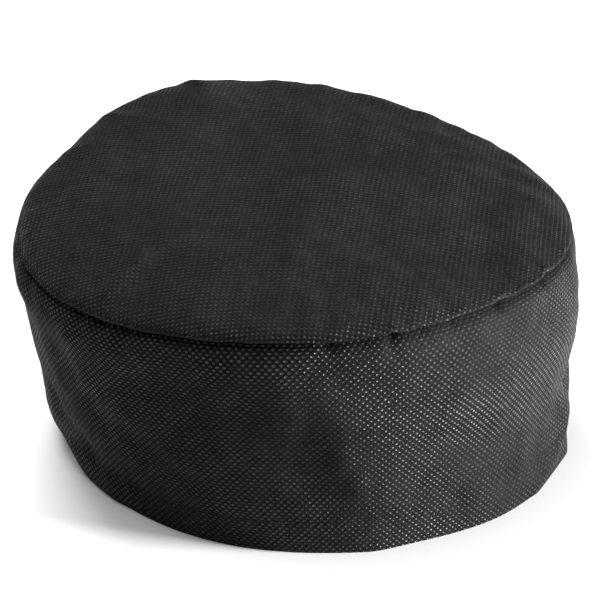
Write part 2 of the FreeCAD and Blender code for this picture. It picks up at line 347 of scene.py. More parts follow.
def crown_base(a, lift):
    """The puffed crown before its folds. lift runs from 0 at the seam to 90 degrees on top."""
    a, lift = np.broadcast_arrays(a, np.radians(lift))
    left_front = bump(turn_between(a, -70.0), 50.0)
    edge = wall(a, seam_height(a))
    plump = 2.0 + 0.5 * left_front
    r = np.abs(np.cos(lift)) ** (2 / plump)
    centre = np.array(SEAM_CENTRE)
    radial = outward(a)[..., :2]
    left = 0.5 - 0.5 * np.sin(a)
    lip = 0.3 + 2.0 * bump(turn_between(a, 45.0), 45.0)
    lip = MM * (lip + 1.1 * left * bump(np.degrees(lift) - 12, 14.0))
    xy = centre + (edge[..., :2] - centre) * r[..., None] + radial * lip[..., None]
    mean = BAND_HEIGHT + 0.4 * MM
    flat = 0.9 * bump(turn_between(a, 42.0), 44.0)
    plane = mean + (edge[..., 2] + 1.4 * MM * flat - mean) * r**2
    z = plane + DOME_RISE * ((1 - flat) * np.sin(lift) + flat * np.sin(lift) ** 2)
    return np.concatenate([xy, z[..., None]], -1)


def normals_of(p):
    """Unit normals of a grid of points, out of the side where columns run anticlockwise."""
    along = np.roll(p, -1, 1) - np.roll(p, 1, 1)
    across = np.gradient(p, axis=0)
    n = np.cross(along, across)
    return n / np.maximum(np.linalg.norm(n, axis=-1, keepdims=True), 1e-12)


# --- Meshes ---


def new_piece(name, verts, faces, corners, material):
    """A smooth piece from points and quads, with cloth coordinates for each quad's corners."""
    mesh = bpy.data.meshes.new(name)
    mesh.from_pydata(verts.tolist(), [], faces.tolist())
    layer = mesh.uv_layers.new(name="cloth")
    layer.data.foreach_set("uv", corners.ravel().astype(np.float32))
    mesh.polygons.foreach_set("use_smooth", [True] * len(mesh.polygons))
    mesh.materials.append(material)
    mesh.update()
    piece = bpy.data.objects.new(name, mesh)
    bpy.context.scene.collection.objects.link(piece)
    return piece


def grid_piece(name, p, uv, material, closed=False, keep=None, painted_shade=None):
    """A piece from a grid of points (rows, columns, 3), with cloth coordinates in metres.
    keep says which of the grid's quads are made. The last argument is painted shade at each point,
    from 0 to 1, that darkens the cloth and dulls its dots: under the seam's lip, in puckers, on
    the crown's edge inside the seam, and over the left of the band and the right of the crown."""
    rows, columns = p.shape[:2]
    spans = columns if closed else columns - 1
    i, j = np.meshgrid(np.arange(rows - 1), np.arange(spans), indexing="ij")
    if keep is not None:
        i, j = i[keep[:, :spans]], j[keep[:, :spans]]
    i, j = i.ravel(), j.ravel()
    right = (j + 1) % columns
    faces = np.stack(
        [i * columns + j, i * columns + right, (i + 1) * columns + right, (i + 1) * columns + j],
        -1,
    )
    used, faces_used = np.unique(faces, return_inverse=True)
    corners = np.stack([uv[i, j], uv[i, j + 1], uv[i + 1, j + 1], uv[i + 1, j]], 1)
    piece = new_piece(name, p.reshape(-1, 3)[used], faces_used.reshape(-1, 4), corners, material)
    # The painted shade is stored on the points for the cloth's material.
    depth = np.zeros(p.shape[:2]) if painted_shade is None else np.clip(painted_shade, 0, 1)
    stored = piece.data.attributes.new("painted_shade", "FLOAT", "POINT")
    stored.data.foreach_set("value", depth.ravel()[used].astype(np.float32))
    return piece


def thicken(piece, thickness):
    """Gives a piece its thickness, inwards from its mesh."""
    made = piece.modifiers.new("thickness", "SOLIDIFY")
    made.thickness = thickness
    made.offset = -1.0
    made.use_even_offset = False


def mesh_piece(name, verts, faces, uv, material):
    """A piece from points and quads, with one cloth coordinate per point."""
    return new_piece(name, verts, faces, uv[faces], material)


def tube_parts(line, normal, radius, sides=6, flat=1.0):
    """Rings of points round a line: (points, quads, cloth coordinates). radius may vary."""
    line = np.asarray(line, float)
    tangent = np.gradient(line, axis=0)
    tangent /= np.linalg.norm(tangent, axis=1, keepdims=True)
    side = np.cross(tangent, normal)
    side /= np.linalg.norm(side, axis=1, keepdims=True)
    up = np.cross(side, tangent)
    turn = np.linspace(0, 2 * np.pi, sides, endpoint=False)
    radius = np.broadcast_to(radius, len(line))[:, None, None]
    ring = side[:, None] * np.cos(turn)[:, None] + flat * up[:, None] * np.sin(turn)[:, None]
    points = line[:, None] + ring * radius
    rows = len(line)
    i, j = np.meshgrid(np.arange(rows - 1), np.arange(sides), indexing="ij")
    i, j = i.ravel(), j.ravel()
    k = (j + 1) % sides
    quads = np.stack([i * sides + j, i * sides + k, (i + 1) * sides + k, (i + 1) * sides + j], -1)
    along = np.concatenate([[0], np.cumsum(np.linalg.norm(np.diff(line, axis=0), axis=1))])
    uv = np.stack(np.broadcast_arrays(along[:, None], turn[None] * 0.2 * MM), -1)
    return points.reshape(-1, 3), quads, uv.reshape(-1, 2)


def joined(parts):
    verts, faces, uvs, count = [], [], [], 0
    for v, f, uv in parts:
        verts.append(v)
        faces.append(f + count)
        uvs.append(uv)
        count += len(v)
    return np.concatenate(verts), np.concatenate(faces), np.concatenate(uvs)


def spaced(line, normal, step):
    """The line and its normals again, with evenly spaced points."""
    gaps = np.linalg.norm(np.diff(line, axis=0), axis=1)
    along = np.concatenate([[0], np.cumsum(gaps)])
    at = np.linspace(0, along[-1], max(2, int(along[-1] / step) + 1))
    points = np.stack([np.interp(at, along, line[:, k]) for k in range(3)], -1)
    turned = np.stack([np.interp(at, along, normal[:, k]) for k in range(3)], -1)
    return at, points, turned / np.linalg.norm(turned, axis=1, keepdims=True)


def stitch_row(line, normal, pitch=3.3 * MM):
    """Single stitches along a line that lies on the cloth: each rises out of its needle hole and
    goes back in at the next."""
    share, radius, sink = 0.78, 0.17 * MM, 0.3 * MM
    at, points, turned = spaced(line, normal, 0.2 * MM)
    parts = []
    for start in np.arange(0.4 * MM, at[-1] - pitch, pitch):
        u = np.linspace(-1, 1, 9)
        s = start + pitch * (0.5 + 0.5 * share * u) + RANDOM.uniform(-0.12, 0.12) * MM
        centre = np.stack([np.interp(s, at, points[:, k]) for k in range(3)], -1)
        out = np.stack([np.interp(s, at, turned[:, k]) for k in range(3)], -1)
        lift = radius * 0.55 - sink * u**6
        parts.append(
            tube_parts(centre + out * lift[:, None], out, radius * (1 - 0.25 * u**4), 6, 0.8)
        )
    return parts


# --- Materials ---


class Nodes:
    """Short names for making a material's nodes."""

    def __init__(self, name):
        self.material = bpy.data.materials.new(name)
        self.material.use_nodes = True
        self.tree = self.material.node_tree
        self.shader = self.tree.nodes["Principled BSDF"]

    def add(self, kind, **settings):
        node = self.tree.nodes.new(kind)
        for key, setting in settings.items():
            setattr(node, key, setting)
        return node

    def link(self, source, target):
        self.tree.links.new(source, target)

    def put(self, socket, value):
        if isinstance(value, bpy.types.NodeSocket):
            self.link(value, socket)
        else:
            socket.default_value = value

    def maths(self, operation, a, b=0.0, c=0.0):
        node = self.add("ShaderNodeMath", operation=operation)
        self.put(node.inputs[0], a)
        self.put(node.inputs[1], b)
        self.put(node.inputs[2], c)
        return node.outputs[0]

    def ramp(self, value, low, high, to_low=0.0, to_high=1.0):
        node = self.add("ShaderNodeMapRange", interpolation_type="SMOOTHSTEP")
        self.put(node.inputs["Value"], value)
        self.put(node.inputs["From Min"], low)
        self.put(node.inputs["From Max"], high)
        self.put(node.inputs["To Min"], to_low)
        self.put(node.inputs["To Max"], to_high)
        return node.outputs["Result"]

    def mix(self, share, a, b):
        node = self.add("ShaderNodeMix", data_type="RGBA")
        self.put(node.inputs["Factor"], share)
        self.put(node.inputs["A"], a)
        self.put(node.inputs["B"], b)
        return node.outputs["Result"]

    def noise(self, vector, scale, detail, roughness=0.5):
        node = self.add("ShaderNodeTexNoise")
        self.link(vector, node.inputs["Vector"])
        node.inputs["Scale"].default_value = scale
        node.inputs["Detail"].default_value = detail
        node.inputs["Roughness"].default_value = roughness
        return node.outputs["Fac"]

    def mapped(self, vector, turn, scale, move=(0, 0, 0)):
        node = self.add("ShaderNodeMapping")
        self.link(vector, node.inputs["Vector"])
        node.inputs["Rotation"].default_value = (0, 0, turn)
        node.inputs["Scale"].default_value = scale
        node.inputs["Location"].default_value = move
        return node.outputs["Vector"]

    def cloth(self):
        return self.add("ShaderNodeUVMap", uv_map="cloth").outputs["UV"]

    def bump(self, height, distance):
        node = self.add("ShaderNodeBump")
        node.inputs["Strength"].default_value = 1.0
        node.inputs["Distance"].default_value = distance
        self.link(height, node.inputs["Height"])
        self.link(node.outputs["Normal"], self.shader.inputs["Normal"])
        self.link(node.outputs["Normal"], self.shader.inputs["Coat Normal"])

    def set(self, **values):
        for key, value in values.items():
            self.put(self.shader.inputs[key.replace("_", " ")], value)


def grey(value):
    return (value, value, value * 1.02, 1.0)


def spunbond(name, turn, shine, webbing, shade):
    """Non-woven cloth: fine fibres pressed together at a grid of small oval bond dots. shine
    scales the glint of the dots, webbing how much the fibres between them show, and shade is
    the colour between the dots."""
    n = Nodes(name)
    cloth = n.cloth()
    grid = n.mapped(cloth, turn, (1 / DOT_PITCH, 1 / DOT_PITCH, 1))
    split = n.add("ShaderNodeSeparateXYZ")
    n.link(grid, split.inputs[0])
    dx = n.maths("SUBTRACT", n.maths("FRACT", split.outputs[0]), 0.5)
    dy = n.maths("SUBTRACT", n.maths("FRACT", split.outputs[1]), 0.5)
    # Each dot is an oval, longer along one of the grid's diagonals.
    long_way = n.maths("MULTIPLY", n.maths("ADD", dx, dy), 0.60)
    short_way = n.maths("MULTIPLY", n.maths("SUBTRACT", dx, dy), 0.86)
    r = n.maths(
        "SQRT",
        n.maths("ADD", n.maths("POWER", long_way, 2.0), n.maths("POWER", short_way, 2.0)),
    )
    dot = n.ramp(r, 0.26, 0.36, 1.0, 0.0)
    bowl = n.ramp(r, 0.02, 0.40, 1.0, 0.0)
    cell = n.add("ShaderNodeTexWhiteNoise", noise_dimensions="3D")
    floor = n.add("ShaderNodeVectorMath", operation="FLOOR")
    n.link(grid, floor.inputs[0])
    n.link(floor.outputs[0], cell.inputs["Vector"])
    own = cell.outputs["Value"]
    split_own = n.add("ShaderNodeSeparateColor")
    n.link(cell.outputs["Color"], split_own.inputs[0])

    fibres = []
    for angle, move in ((0.3, 0.0), (1.2, 3.1), (2.1, 7.7), (2.8, 5.2)):
        stretched = n.mapped(cloth, angle, (500, 4200, 1), (move, move, 0))
        fibres.append(n.noise(stretched, 1.0, 2.0))
    web = fibres[0]
    for more in fibres[1:]:
        web = n.maths("MAXIMUM", web, more)
    cloudy = n.noise(cloth, 70.0, 3.0)

    tint = n.ramp(web, 0.45, 0.8, shade * (1 - 0.25 * webbing), shade * (1 + 0.5 * webbing))
    tint = n.maths("MULTIPLY", tint, n.ramp(cloudy, 0.3, 0.7, 0.85, 1.17))
    tint = n.maths("MULTIPLY", tint, n.maths("MULTIPLY_ADD", dot, 0.35, 1.0))
    # Painted shade from the mesh: it darkens the colour here and, below, dulls the dots' glint.
    deep = n.add("ShaderNodeAttribute", attribute_name="painted_shade").outputs["Fac"]
    painted_shade_factor = n.maths("MULTIPLY_ADD", deep, -0.85, 1.0)
    tint = n.maths("MULTIPLY", tint, painted_shade_factor)
    combine = n.add("ShaderNodeCombineColor")
    n.link(tint, combine.inputs[0])
    n.link(tint, combine.inputs[1])
    n.link(n.maths("MULTIPLY", tint, 1.03), combine.inputs[2])

    rough = n.ramp(web, 0.4, 0.8, 0.70, 0.52)
    patchy = n.ramp(n.noise(cloth, 24.0, 4.0, 0.6), 0.34, 0.66, 0.45, 1.35)
    gloss = n.maths("MULTIPLY_ADD", own, 0.45 * shine, 0.32 * shine)
    gloss = n.maths("MULTIPLY", n.maths("MULTIPLY", dot, gloss), patchy)
    gloss = n.maths("MULTIPLY", gloss, painted_shade_factor)

    # Height in mm: dots pressed in, each with a slightly different tilt, and fibres between.
    pressed = n.maths("MULTIPLY", bowl, -0.36)
    tilt_x = n.maths("MULTIPLY", n.maths("SUBTRACT", split_own.outputs[1], 0.5), dx)
    tilt_y = n.maths("MULTIPLY", n.maths("SUBTRACT", split_own.outputs[2], 0.5), dy)
    tilt = n.maths("MULTIPLY", n.maths("ADD", tilt_x, tilt_y), n.maths("MULTIPLY", dot, 0.8))
    fuzz = n.maths("MULTIPLY_ADD", dot, -0.10 * webbing, 0.13 * webbing)
    fuzz = n.maths("MULTIPLY", web, fuzz)
    height = n.maths("ADD", n.maths("ADD", pressed, tilt), fuzz)
    height = n.maths("ADD", height, n.maths("MULTIPLY", cloudy, 0.15))
    n.bump(height, MM)
    n.set(
        Base_Color=combine.outputs[0],
        Roughness=rough,
        Specular_IOR_Level=0.02,
        Coat_Weight=gloss,
        Coat_Roughness=0.36,
    )
    return n.material


def thread_material(name, shade):
    n = Nodes(name)
    cloth = n.cloth()
    twist = n.add("ShaderNodeTexWave", wave_type="BANDS", bands_direction="DIAGONAL")
    n.link(n.mapped(cloth, 0.0, (1, 4, 1)), twist.inputs["Vector"])
    twist.inputs["Scale"].default_value = 900.0
    twist.inputs["Distortion"].default_value = 1.0
    lint = n.noise(cloth, 5000.0, 2.0)
    n.set(
        Base_Color=n.mix(twist.outputs["Fac"], grey(shade * 0.6), grey(shade * 1.5)),
        Roughness=n.ramp(lint, 0.3, 0.7, 0.5, 0.7),
        Specular_IOR_Level=0.15,
    )
    n.bump(twist.outputs["Fac"], 0.08 * MM)
    return n.material


def felt_material(name, shade):
    n = Nodes(name)
    cloth = n.cloth()
    fine = n.noise(cloth, 3200.0, 4.0, 0.7)
    soft = n.noise(cloth, 260.0, 3.0)
    cells = n.add("ShaderNodeTexVoronoi")
    n.link(cloth, cells.inputs["Vector"])
    cells.inputs["Scale"].default_value = 700.0
    height = n.maths("MULTIPLY_ADD", fine, 0.5, n.maths("MULTIPLY", cells.outputs[0], 0.5))
    n.set(
        Base_Color=n.mix(soft, grey(shade * 0.7), grey(shade * 1.4)),
        Roughness=n.ramp(fine, 0.3, 0.7, 0.85, 0.97),
        Sheen_Weight=0.35,
        Sheen_Roughness=0.6,
    )
    n.bump(height, 0.25 * MM)
    return n.material


def tape_material(name, shade):
    """Woven tape: fine ribs across its length and a plain edge."""
    n = Nodes(name)
    cloth = n.cloth()
    ribs = n.add("ShaderNodeTexWave", wave_type="BANDS", bands_direction="X")
    n.link(cloth, ribs.inputs["Vector"])
    ribs.inputs["Scale"].default_value = 420.0
    ribs.inputs["Distortion"].default_value = 0.6
    weft = n.add("ShaderNodeTexWave", wave_type="BANDS", bands_direction="Y")
    n.link(cloth, weft.inputs["Vector"])
    weft.inputs["Scale"].default_value = 620.0
    weave = n.maths("MULTIPLY", ribs.outputs["Fac"], weft.outputs["Fac"])
    wear = n.noise(cloth, 300.0, 3.0)
    n.set(
        Base_Color=n.mix(weave, grey(shade * 0.55), grey(shade * 1.5)),
        Roughness=n.ramp(wear, 0.3, 0.7, 0.5, 0.68),
        Sheen_Weight=0.15,
    )
    n.bump(weave, 0.12 * MM)
    return n.material


def plastic_material(name, shade):
    n = Nodes(name)
    cloth = n.cloth()
    fine = n.noise(cloth, 1500.0, 2.0)
    n.set(
        Base_Color=n.mix(fine, grey(shade * 0.8), grey(shade * 1.3)),
        Roughness=n.ramp(fine, 0.3, 0.7, 0.3, 0.42),
    )
    n.bump(fine, 0.02 * MM)
    return n.material


BAND_CLOTH = spunbond("spunbond_band", math.radians(45.0), shine=1.05, webbing=1.2, shade=0.0078)
CROWN_CLOTH = spunbond("spunbond_crown", math.radians(20.0), shine=0.6, webbing=2.0, shade=0.0105)
THREAD = thread_material("sewing_thread", 0.011)
FELT = felt_material("sweatband_felt", 0.03)
TAPE = tape_material("binding_tape", 0.022)
HOOKS = plastic_material("hook_plastic", 0.02)
PILE = felt_material("loop_pile", 0.02)

# --- Crown and band ---


def finish_piece(piece, body, slot, *nodes):
    """Says what a piece rides on and which CAD nodes it stands for; slot, what it is made of, is
    not used.
    """
    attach(piece, body)
    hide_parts(*nodes)


ROUND = np.radians(np.arange(COLUMNS) * 360.0 / COLUMNS - 180.0)
HALF_WAY_UP = wall(ROUND, seam_height(ROUND) / 2)
STEPS = np.linalg.norm(np.roll(HALF_WAY_UP, -1, 0) - HALF_WAY_UP, axis=1)
ALONG = np.concatenate([[0], np.cumsum(STEPS)])


def column_uv(v):
    """Cloth coordinates for whole rings: along the strip and across it."""
    return np.stack(np.broadcast_arrays(ALONG[None], v[:, None]), -1)


def nape_angle(x):
    """The angle at which the band, at the nape, is x metres to the side."""
    a = np.radians(np.linspace(250.0, 110.0, 281))
    return np.interp(x, wall(a, 20 * MM)[:, 0], a)


# The first rows of the band, which are its hem behind the wall.
HEM_ROWS = 12


def in_opening(x, z, grow=0.0):
    """Whether a place at the nape lies in the arch, grown by a margin."""
    r = OPENING_HALF + grow
    return (np.abs(x) < r) & ((z < ARCH_CENTRE) | (np.hypot(x, z - ARCH_CENTRE) < r))


def make_side_band():
    """One strip: hem turned up inside, wall, and the edge turned down inside the seam."""
    top = seam_height(ROUND)
    fold, lowest, shoulder, behind = 0.55 * MM, 1.2 * MM, 1.6 * MM, 1.7 * MM
    rows = []
    for z in np.linspace(HEM_WIDTH, 1.5 * MM, 9):
        rows.append((np.full(COLUMNS, z), -2 * fold - 0.1 * MM))
    for turn in np.radians(np.linspace(-165, -15, 7)):
        rows.append((np.full(COLUMNS, fold + fold * np.sin(turn)), fold * (np.cos(turn) - 1)))
    for share in np.linspace(0, 1, 56):
        rows.append((lowest + (top - shoulder - lowest) * share, 0.0))
    for turn in np.radians(np.linspace(20, 90, 4)):
        rows.append((top - shoulder * (1 - np.sin(turn)), 1.3 * MM * (np.cos(turn) - 1)))
    for down in np.array([0.9, 2.5, 4.5, 7.0]) * MM:
        rows.append((top - down, -behind))
    p = np.stack([wall(ROUND, z, out) for z, out in rows])
    path = np.concatenate([[0], np.cumsum(np.linalg.norm(np.diff(p, axis=0), axis=-1).mean(1))])
    x, z, y = p[..., 0], p[..., 2], p[..., 1]
    turned_up = np.arange(len(rows))[:, None] < HEM_ROWS
    hole = in_opening(x, z) | (turned_up & in_opening(x, z, TAPE_WIDTH))
    hole &= y > 0
    corners = hole[:-1] & hole[1:]
    keep = ~(corners & np.roll(corners, -1, 1))
    right = 0.5 + 0.5 * np.sin(ROUND)
    below = (top - z) / MM
    # Painted shade: a dark line under the crown seam's lip, wider and darker on the right, and
    # darkness in the puckers.
    painted_shade = (0.2 + 0.8 * right) * bump(below - 0.8 - 1.6 * right, 0.6 + 1.6 * right)
    pulled = puckers(ROUND[None], np.maximum(top - z, 0), False) / MM
    painted_shade = painted_shade + (0.8 + 0.8 * right) * np.clip(pulled - 0.25, 0, 1)
    # Painted shade over the left of the band, which also dulls its dots there.
    painted_shade = painted_shade + 0.4 * bump(turn_between(ROUND, -70.0), 48.0)
    piece = grid_piece("cloth_band", p, column_uv(path), BAND_CLOTH, True, keep, painted_shade)
    thicken(piece, CLOTH)
    finish_piece(piece, "cap", "spunbond_cloth", "side_band")


# How the crown's edge turns over the seam: the share of the way down, and mm outwards.
CROWN_LIP = ((0.12, 0.45), (0.40, 0.75), (0.72, 0.60), (0.93, -0.1), (1.0, -1.2), (1.0, -2.6))
LIP_ROWS_OUTSIDE = 3


def make_crown_panel():
    """The puffed round top, with its edge turned down inside the seam."""
    lifts = np.concatenate(
        [np.linspace(88.8, 60, 16, endpoint=False), 60 * np.linspace(1, 0.13, 48) ** 1.3]
    )
    base = crown_base(ROUND[None], lifts[:, None])
    out = normals_of(base)
    distance = np.linalg.norm(np.diff(base, axis=0), axis=-1)
    from_seam = np.concatenate([np.cumsum(distance[::-1], axis=0)[::-1], distance[-1:] * 0])
    folds = fold_field(base[..., 0] / MM, base[..., 1] / MM, CROWN_FOLDS, 1.0) * MM
    folds = folds + 0.8 * rumples(base[..., 0], base[..., 1])
    folds = folds * (1 - bump(from_seam, 5 * MM))
    pulled = puckers(ROUND[None], from_seam, True)
    p = base + out * (folds - pulled)[..., None]
    top = seam_height(ROUND)
    edge = p[-1]
    radial = outward(ROUND)
    rows = []
    for fall, reach in CROWN_LIP:
        drop = (edge[:, 2] - top - 0.05 * MM) * fall
        rows.append(edge + radial * reach * MM - np.stack([0 * top, 0 * top, drop], -1))
    for down in np.array([0.6, 2.5, 4.5, 6.8]) * MM:
        rows.append(wall(ROUND, top - down, -2.2 * MM))
    p = np.concatenate([p, np.stack(rows)])
    first = np.linalg.norm(p[0] - p[0].mean(0), axis=-1)
    steps = np.linalg.norm(np.diff(p, axis=0), axis=-1)
    path = first + np.concatenate([0 * steps[:1], np.cumsum(steps, axis=0)])
    flat = path[..., None] * outward(ROUND)[:, :2]
    uv = np.concatenate([flat, flat[:, :1]], 1)
    hollow = np.zeros(p.shape[:2])
    # hollow is the crown's painted shade, which also dulls the dots: first darkness in the
    # puckers.
    hollow[: len(base)] = 0.8 * np.clip(pulled / MM - 0.3, 0, 1)
    # Painted shade towards the right of the crown, which also dulls its dots there.
    hollow[: len(base)] += 0.42 * np.clip(0.45 + base[..., 0] / (110 * MM), 0, 1)
    # Painted shade on the edge that turns down inside the seam.
    hollow[len(base) + LIP_ROWS_OUTSIDE :] = 1.0
    piece = grid_piece("cloth_crown", p, uv, CROWN_CLOTH, True, painted_shade=hollow)
    close_ring(piece)
    piece.data.flip_normals()
    thicken(piece, CLOTH)
    finish_piece(piece, "cap", "spunbond_cloth", "crown_panel")


# --- Inside of the rim ---


def lengths(p, axis):
    """The mean distance along one axis of a grid of points."""
    gaps = np.linalg.norm(np.diff(p, axis=axis), axis=-1).mean(1 - axis)
    return np.concatenate([[0], np.cumsum(gaps)])


def open_uv(p):
    u, v = lengths(p, 1), lengths(p, 0)
    return np.stack(np.broadcast_arrays(u[None], v[:, None]), -1)


def make_sweatband():
    """A felt strip inside the rim, quilted by the hem's row. It stops short of the tape."""
    heights = np.linspace(SWEATBAND_LOW, SWEATBAND_HIGH, 27)
    gap = OPENING_HALF + TAPE_WIDTH + 1 * MM
    reach = np.sqrt(np.maximum(gap**2 - np.maximum(heights - ARCH_CENTRE, 0) ** 2, 0))
    start = nape_angle(-reach) - 2 * math.pi
    end = nape_angle(reach)
    share = np.linspace(0, 1, 540)
    a = start[:, None] * (1 - share) + end[:, None] * share
    p = wall(a, heights[:, None] + 0 * a, -1.3 * MM)
    piece = grid_piece("felt_sweatband", p, open_uv(p), FELT)
    # The felt is thinner at its edges and along the hem's row of stitches.
    from_row, from_low, from_high = (
        (heights - z) / MM for z in (HEM_ROW, SWEATBAND_LOW, SWEATBAND_HIGH)
    )
    stitched = 1 - 0.5 * bump(from_row, 1.3)
    edge = 1 - 0.55 * (bump(from_low, 0.8) + bump(from_high, 0.8))
    group = piece.vertex_groups.new(name="thickness")
    columns = p.shape[1]
    for row, weight in enumerate(np.minimum(stitched, edge)):
        points = list(range(row * columns, (row + 1) * columns))
        group.add(points, float(weight), "REPLACE")
    thicken(piece, 1.1 * MM)
    piece.modifiers["thickness"].vertex_group = "thickness"
    finish_piece(piece, "cap", "sweatband_felt", "sweatband")


# --- The nape ---


def arch_line(radius):
    """Points (x, z) up one side of the arch, over it and down the other, at a radius."""
    turns = np.linspace(math.pi, 0, int(math.pi * OPENING_HALF / (0.8 * MM)))
    leg = np.linspace(0.4 * MM, ARCH_CENTRE, 14, endpoint=False)
    x = np.concatenate([-radius + 0 * leg, radius * np.cos(turns), radius + 0 * leg])
    z = np.concatenate([leg, ARCH_CENTRE + radius * np.sin(turns), leg[::-1]])
    return x, z


def on_nape(x, z, out):
    return wall(nape_angle(x), z, out)


def make_binding():
    """Tape folded over the arch's raw edge, with small gathers where it turns the curve."""
    outer, inner, round_off = 0.62 * MM, -1.15 * MM, 0.9 * MM
    middle = (outer + inner) / 2
    half = (outer - inner) / 2
    across = [(TAPE_WIDTH - 0.2 * MM, 0.10 * MM), (TAPE_WIDTH - 0.6 * MM, 0.45 * MM)]
    across += [(d * MM, outer) for d in (6.9, 6.4, 6.0, 5.6, 5.0, 4.0, 3.0, 2.0, 1.0, 0.3)]
    for turn in np.radians(np.linspace(75, -75, 8)):
        across.append((-round_off * math.cos(turn), middle + half * math.sin(turn)))
    across += [(d * MM, inner) for d in (0.3, 1.5, 3.0, 4.5, 5.5, 6.0, 6.5, 7.8)]
    rows = []
    for d, out in across:
        x, z = arch_line(OPENING_HALF + d)
        along = np.arange(len(x))
        inside = 1 - d / TAPE_WIDTH
        gather = 0.12 * MM * inside * np.sin(along * 1.15) * np.sin(along * 0.23 + 1)
        row = 0.16 * MM * bump((d - TAPE_ROW) / MM, 0.5)
        sign = 1 if out > middle else -1
        rows.append(on_nape(x, z, out + gather - sign * row))
    p = np.stack(rows)
    piece = grid_piece("tape_arch", p, open_uv(p), TAPE)
    thicken(piece, 0.4 * MM)
    finish_piece(piece, "cap", "binding_tape", "opening_binding")
    parts = []
    for out, sign in ((0.50 * MM, 1), (-1.03 * MM, -1)):
        x, z = arch_line(OPENING_HALF + TAPE_ROW)
        a = nape_angle(x)
        parts += stitch_row(on_nape(x, z, out), sign * outward(a), pitch=TAPE_PITCH)
    thread = mesh_piece("thread_tape", *joined(parts), THREAD)
    finish_piece(thread, "cap", "sewing_thread", "binding_stitching")


# The strap, with angles in degrees: its free tip, the fold under its sewn end and the stretch
# where the hinge is. STRAP_OUT and SEWN_OUT are from the band to the strap's middle.
STRAP_MIDDLE = (STRAP_LOW + STRAP_HIGH) / 2
STRAP_HALF = (STRAP_HIGH - STRAP_LOW) / 2
STRAP_OUT = 2.9 * MM
STRAP_THICK = 1.1 * MM
TIP = 234.6
TIP_ROUND = 7.0
FOLD_AT = 144.2
HINGE_START, HINGE_END = 152.5, 158.5
SEWN_OUT = 2.45 * MM
FREE_POINTS, FOLD_POINTS = 181, 7
# The edge stitching starts here, to clear the sewn end's when the strap is peeled.
EDGE_ROW_START = 161.5


def strap_path():
    """From the free tip to the fold under the sewn end: angles, how far out, half-widths."""
    a = list(np.linspace(TIP, FOLD_AT, FREE_POINTS))
    out = []
    for angle in a:
        t = min(max((angle - 146.0) / 6.0, 0), 1)
        out.append(SEWN_OUT + (STRAP_OUT - SEWN_OUT) * t * t * (3 - 2 * t))
    centre, radius = 1.68 * MM, 0.77 * MM
    for turn in np.radians(np.linspace(75, -75, FOLD_POINTS)):
        a.append(FOLD_AT - 0.5 * math.cos(turn))
        out.append(centre + radius * math.sin(turn))
    for angle in np.linspace(FOLD_AT + 0.3, 152.8, 14):
        a.append(angle)
        out.append(centre - radius)
    a, out = np.array(a), np.array(out)
    to_tip = np.clip((TIP - a) / TIP_ROUND, 0, 1)
    half = STRAP_HALF * np.sqrt(np.maximum(1 - (1 - to_tip) ** 2, 0.0))
    return np.radians(a), out, np.maximum(half, 0.6 * MM)


def make_strap():
    """A doubled strip of the cap's cloth, with its edges stitched and its end folded under."""
    a, out, half = strap_path()
    p0 = wall(a, STRAP_MIDDLE, out)
    tangent = np.gradient(p0, axis=0)
    tangent[:, 2] = 0
    tangent /= np.linalg.norm(tangent, axis=1, keepdims=True)
    side = np.stack([-tangent[:, 1], tangent[:, 0], 0 * a], -1)
    side *= np.where((side * outward(a)).sum(1) < 0, -1, 1)[:, None]
    # Past the fold the strap runs back, so its outer side faces the band.
    folding = np.cumsum(np.concatenate([[0], np.diff(a) > 0])) > 0
    side[folding] *= -1
    turning = slice(FREE_POINTS, FREE_POINTS + FOLD_POINTS)
    turns = np.linspace(0, math.pi, FOLD_POINTS + 2)[1:-1]
    outwards = outward(a[turning])
    ahead = np.stack([np.cos(a[turning]), np.sin(a[turning]), 0 * a[turning]], -1)
    side[turning] = outwards * np.cos(turns)[:, None] - ahead * np.sin(turns)[:, None]
    # The strap's section: where across its width, on which face, and how far over its edge.
    ring = []
    edge = STRAP_THICK / 2
    for v in np.linspace(-1, 1, 17):
        ring.append((v, 1.0, 0.0))
    for turn in np.radians((45, 0, -45)):
        ring.append((1.0, math.sin(turn), math.cos(turn)))
    for v in np.linspace(1, -1, 17):
        ring.append((v, -1.0, 0.0))
    for turn in np.radians((-45, 0, 45)):
        ring.append((-1.0, math.sin(turn), -math.cos(turn)))
    grid = []
    v_of = []
    for v, face, round_over in ring:
        width = half - edge * 0.8
        offset = v * width + round_over * edge * 0.8
        z = STRAP_MIDDLE + offset
        groove = 0.16 * MM * bump((np.abs(offset) - (half - 1.4 * MM)) / MM, 0.5) * (half > 2 * MM)
        puff = 0.10 * MM * (1 - (offset / STRAP_HALF) ** 2)
        lean = wall(a, z, out) - wall(a, STRAP_MIDDLE + 0 * z, out)
        lean[..., 2] = 0
        level = face * (edge - groove + puff)
        grid.append(p0 + lean + side * level[:, None] + np.stack([0 * a, 0 * a, offset], -1))
        v_of.append(offset)
    p = np.stack(grid, 1)
    # Each end of the tube closes onto the middle of its section.
    ends = [p[:1].mean(1, keepdims=True) + 0 * p[:1], p[-1:].mean(1, keepdims=True) + 0 * p[-1:]]
    for end, row in zip(ends, (p[:1], p[-1:])):
        end[..., 2] = row[..., 2]
    p = np.concatenate([ends[0], p, ends[1]])
    along = np.concatenate([[0], lengths(p[1:-1], 0), [0]])
    along[-1] = along[-2]
    v = np.stack(v_of, 1)
    v = np.concatenate([v[:1], v, v[-1:]])
    uv = np.stack([along[:, None] + 0 * v, v], -1)
    uv = np.concatenate([uv, uv[:, :1]], 1)
    piece = grid_piece("cloth_strap", p, uv, BAND_CLOTH, True)
    weld(piece)
    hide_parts("adjuster_strap", "strap_sewn_end")
    bend(piece)


